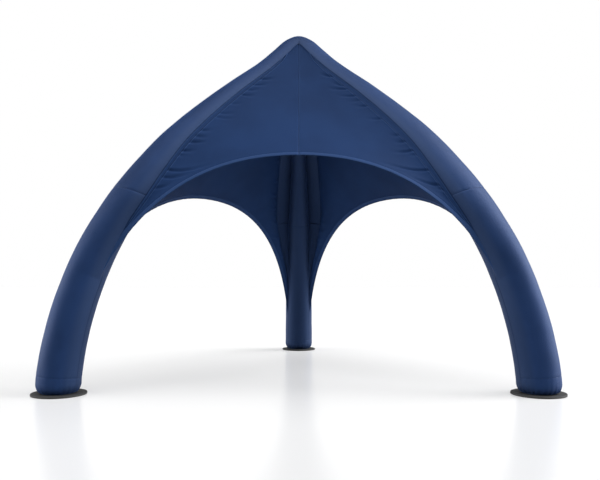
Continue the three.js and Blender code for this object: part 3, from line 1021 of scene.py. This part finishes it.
# A shader socket that can be used in Python expressions
class Shade:
    def __init__(self, tree, socket=None):
        self.tree = tree
        self.socket = socket

    def node(self, kind, settings=None, inputs=None, output=0):
        made = self.tree.nodes.new(kind)
        for name, value in (settings or {}).items():
            setattr(made, name, value)
        for name, value in (inputs or {}).items():
            if isinstance(value, Shade):
                self.tree.links.new(value.socket, made.inputs[name])
            else:
                made.inputs[name].default_value = value
        return Shade(self.tree, made.outputs[output])

    def maths(self, operation, first, second=0.0):
        return self.node("ShaderNodeMath", {"operation": operation}, {0: first, 1: second})

    def __add__(self, other):
        return self.maths("ADD", self, other)

    def __sub__(self, other):
        return self.maths("SUBTRACT", self, other)

    def __rsub__(self, other):
        return self.maths("SUBTRACT", other, self)

    def __mul__(self, other):
        return self.maths("MULTIPLY", self, other)

    __radd__ = __add__
    __rmul__ = __mul__

    # 0 below the low value and 1 above the high one
    def ramp(self, low, high):
        inputs = {"Value": self, "From Min": low, "From Max": high}
        return self.node("ShaderNodeMapRange", {"interpolation_type": "SMOOTHSTEP"}, inputs)

    # From the first colour to the second. The node's sockets for colours have the numbers 6, 7 and 2.
    def mixed(self, first, second):
        inputs = {0: self, 6: first, 7: second}
        return self.node("ShaderNodeMix", {"data_type": "RGBA"}, inputs, output=2)


def colour(values):
    return (*values, 1.0)


def link(value, socket):
    value.tree.links.new(value.socket, socket)


# The three parts of a vector
def parts(vector):
    split = vector.node("ShaderNodeSeparateXYZ", inputs={"Vector": vector}).socket.node
    return [Shade(vector.tree, output) for output in split.outputs]


def object_place(shade):
    return shade.node("ShaderNodeTexCoord", output="Object")


def attribute(shade, name):
    return shade.node("ShaderNodeAttribute", {"attribute_name": name}, output="Fac")


def noise(shade, scale, detail=PATCH_DETAIL):
    inputs = {"Vector": object_place(shade), "Scale": scale, "Detail": detail, "Roughness": NOISE_ROUGHNESS}
    return shade.node("ShaderNodeTexNoise", inputs=inputs)


# Plain weave: threads over and under each other, from the piece's cloth map in metres
def weave(shade):
    across, along, _ = parts(shade.node("ShaderNodeUVMap", {"uv_map": "cloth"}))
    warp = shade.maths("SINE", across * (2 * math.pi / THREAD_PITCH))
    weft = shade.maths("SINE", along * (2 * math.pi / THREAD_PITCH))
    return warp * weft


# 1 between the middle two distances and 0 outside the outer two
def band(distance, low, full, last, high):
    return distance.ramp(low, full) * (1 - distance.ramp(last, high))


def new_material(name, shine):
    material = bpy.data.materials.new(name)
    material.use_nodes = True
    tree = material.node_tree
    shader = tree.nodes["Principled BSDF"]
    for socket, value in shine.items():
        shader.inputs[socket].default_value = value
    return material, Shade(tree), shader


def add_bump(shader, height, strength, depth):
    inputs = {"Height": height, "Strength": strength, "Distance": depth}
    link(height.node("ShaderNodeBump", inputs=inputs), shader.inputs["Normal"])


# What both cloths share: weave, grain and an uneven roughness. It returns the colour, in uneven patches.
def plain_cloth(shade, shader, finish):
    patches = noise(shade, finish["patches"])
    threads = weave(shade)
    grain = noise(shade, finish["grain"], GRAIN_DETAIL)
    roughness = finish["roughness"] + patches * PATCH_ROUGHNESS + threads * THREAD_ROUGHNESS
    link(roughness, shader.inputs["Roughness"])
    add_bump(shader, threads * THREAD_BUMP + grain * GRAIN_BUMP, finish["bump"], CLOTH_BUMP_DEPTH)
    darker, lighter = (colour(tone * part for part in finish["navy"]) for tone in finish["tones"])
    return patches.ramp(*PATCH_EDGES).mixed(darker, lighter)


# Dark thread along a line of stitches
def stitched(cloth, distance):
    return ((1 - distance.ramp(*STITCH_FADE)) * STITCH_TONE).mixed(cloth, colour(THREAD_AND_SHADE_NAVY))


# Coated woven polyester for the inflated legs
def make_leg_cloth():
    material, shade, shader = new_material("leg_cloth", LEG_SHINE)
    cloth = plain_cloth(shade, shader, LEG_FINISH)
    # Painted reflection on the inner side, greyer and darker, and painted light on it higher up on the
    # front legs
    inner = attribute(shade, "upper_inside").mixed(colour(PAINTED_INSIDE_REFLECTION_NAVY), colour(PAINTED_UPPER_INSIDE_LIGHT_NAVY))
    cloth = attribute(shade, "inside").mixed(cloth, inner)
    cloth = stitched(cloth, attribute(shade, "seam_gap"))
    beside = shade.maths("ABSOLUTE", attribute(shade, "long_seam"))
    lower_seam = LOWER_SEAM_TONE * (1 - beside.ramp(*LOWER_SEAM_FADE))
    # Painted shade on the front of the apex
    apex_shade = APEX_FRONT_SHADE * attribute(shade, "apex_front")
    for darkened in (lower_seam, apex_shade):
        cloth = darkened.mixed(cloth, colour(THREAD_AND_SHADE_NAVY))
    link(cloth, shader.inputs["Base Color"])
    return material


# The same cloth stretched over the roof, lighter along its doubled hem, with painted highlights along the
# felled lips and beside the seams
def make_roof_cloth():
    material, shade, shader = new_material("roof_cloth", ROOF_SHINE)
    cloth = plain_cloth(shade, shader, ROOF_FINISH)
    edge = attribute(shade, "strip_edge")
    seam_gap = attribute(shade, "seam_gap")
    hem = HEM_LIGHT * (1 - attribute(shade, "hem_gap").ramp(*HEM_LINE))
    # Painted highlights along the felled lips and beside the seams
    lip = LIP_PAINTED_HIGHLIGHT * band(edge, *LIP_BAND)
    seam_lip_highlight = SEAM_LIP_PAINTED_HIGHLIGHT * band(seam_gap, *SEAM_LIP_BAND) * (1 - edge.ramp(*SEAM_LIP_END))
    for lightened in (hem, lip, seam_lip_highlight):
        cloth = lightened.mixed(cloth, colour(HEM_AND_HIGHLIGHT_NAVY))
    nearest = shade.maths("MINIMUM", shade.maths("ABSOLUTE", edge), seam_gap)
    link(stitched(cloth, nearest), shader.inputs["Base Color"])
    return material


# Moulded rubber, with a painted highlight on its upper rim and top, in uneven patches
def make_plate_rubber():
    material, shade, shader = new_material("plate_rubber", RUBBER_SHINE)
    specks = noise(shade, SPECK_SCALE, SPECK_DETAIL)
    _, _, height = parts(object_place(shade))
    # Painted highlight, paler in uneven patches on the upper rim and top
    painted_highlight = height.ramp(*PLATE_HIGHLIGHT_HEIGHTS) * noise(shade, PLATE_HIGHLIGHT_SCALE).ramp(*PLATE_HIGHLIGHT_EDGES)
    base = (painted_highlight * PLATE_HIGHLIGHT_TONE).mixed(colour(PLATE_CHARCOAL), colour(PLATE_HIGHLIGHT_GREY))
    link(base, shader.inputs["Base Color"])
    link(RUBBER_ROUGHNESS + specks * SPECK_ROUGHNESS, shader.inputs["Roughness"])
    add_bump(shader, specks, SPECK_BUMP, SPECK_DEPTH)
    return material


# The empty nodes of a new material or world
def bare_nodes(holder):
    holder.use_nodes = True
    holder.node_tree.nodes.clear()
    return Shade(holder.node_tree)


# Ends the nodes with one shader that lights the tent and another that the camera sees
def end_nodes(shade, kind, unseen, seen):
    camera_ray = shade.node("ShaderNodeLightPath", output="Is Camera Ray")
    both = shade.node("ShaderNodeMixShader", inputs={0: camera_ray, 1: unseen, 2: seen})
    link(both, shade.tree.nodes.new(kind).inputs["Surface"])


# A white sweep: bright where the camera sees it, and greyer in the light that it throws back on the tent
def make_floor_white():
    material = bpy.data.materials.new("floor_white")
    shade = bare_nodes(material)
    lit = shade.node("ShaderNodeBsdfDiffuse", inputs={"Color": colour(FLOOR_WHITE)})
    glow = shade.node("ShaderNodeEmission", inputs={"Strength": FLOOR_GLOW})
    bright = shade.node("ShaderNodeAddShader", inputs={0: lit, 1: glow})
    gloss = shade.node("ShaderNodeBsdfAnisotropic", inputs={"Roughness": FLOOR_ROUGHNESS})
    seen = shade.node("ShaderNodeMixShader", inputs={0: FLOOR_GLOSS, 1: bright, 2: gloss})
    _, back, _ = parts(object_place(shade))
    thrown = back.ramp(*FLOOR_FRONT_END).mixed(colour(FLOOR_FRONT), colour(FLOOR_REAR))
    unseen = shade.node("ShaderNodeBsdfDiffuse", inputs={"Color": thrown})
    end_nodes(shade, "ShaderNodeOutputMaterial", unseen, seen)
    return material


def make_floor():
    bpy.ops.object.select_all(action="DESELECT")
    bpy.ops.mesh.primitive_plane_add(size=FLOOR_SIZE, location=(0, 0, FLOOR_LEVEL))
    floor = bpy.context.active_object
    floor.name = "studio_floor"
    floor.data.materials.append(make_floor_white())


def make_camera():
    data = bpy.data.cameras.new("camera")
    data.sensor_fit = "HORIZONTAL"
    data.sensor_width = SENSOR_WIDTH
    data.lens = SENSOR_WIDTH * FOCAL_PIXELS / PHOTO_WIDTH
    data.shift_x = (PHOTO_WIDTH / 2 - PHOTO_AXIS_PIXEL) / PHOTO_WIDTH
    data.clip_end = VIEW_DEPTH
    camera = bpy.data.objects.new("camera", data)
    camera.location = (0, TENT_AXIS_Y - CAMERA_DISTANCE, CAMERA_HEIGHT)
    camera.rotation_euler = (math.pi / 2 + CAMERA_PITCH, 0, 0)
    bpy.context.scene.collection.objects.link(camera)
    bpy.context.scene.camera = camera


# Soft white surroundings: at both sides, behind the tent in what shiny surfaces mirror, and plain white
# where the camera looks past the tent
def make_surroundings():
    world = bpy.data.worlds.new("studio")
    bpy.context.scene.world = world
    shade = bare_nodes(world)
    sideways, back, up = parts(shade.node("ShaderNodeTexCoord", output="Generated"))
    mirrored = shade.node("ShaderNodeLightPath", output="Is Glossy Ray")
    beside = SIDE_LIGHT * shade.maths("ABSOLUTE", sideways).ramp(*SIDE_SPREAD)
    behind = MIRRORED_LIGHT * mirrored * back.ramp(*MIRRORED_BACK) * (1 - up.ramp(*MIRRORED_TOP))
    inputs = {"Color": colour(WHITE), "Strength": beside + behind}
    light = shade.node("ShaderNodeBackground", inputs=inputs)
    seen = shade.node("ShaderNodeBackground", inputs={"Color": colour(WHITE), "Strength": 1.0})
    end_nodes(shade, "ShaderNodeOutputWorld", light, seen)


def make_lights():
    for name, (source, strength, spread) in SOFT_LIGHTS.items():
        data = bpy.data.lights.new(name, "SUN")
        data.energy = strength
        data.angle = math.radians(spread)
        lamp = bpy.data.objects.new(name, data)
        lamp.rotation_euler = Vector(source).to_track_quat("Z", "Y").to_euler()
        bpy.context.scene.collection.objects.link(lamp)


make_camera()
LEG_CLOTH = make_leg_cloth()
ROOF_CLOTH = make_roof_cloth()
PLATE_RUBBER = make_plate_rubber()
for number, leg_name in enumerate(LEG_ANGLES):
    boot_phase, lower_phase, upper_phase = (start + step * number for start, step in LEG_PHASES)
    make_plate(leg_name)
    make_boot(leg_name, boot_phase)
    make_lower_leg(leg_name, lower_phase)
    make_upper_leg(leg_name, upper_phase)
make_front_panel(PANELS["front"])
for panel_name in ("rear_right", "rear_left"):
    make_rear_panel(panel_name, PANELS[panel_name])
make_floor()
make_surroundings()
make_lights()
bpy.context.scene.view_settings.view_transform = "Standard"
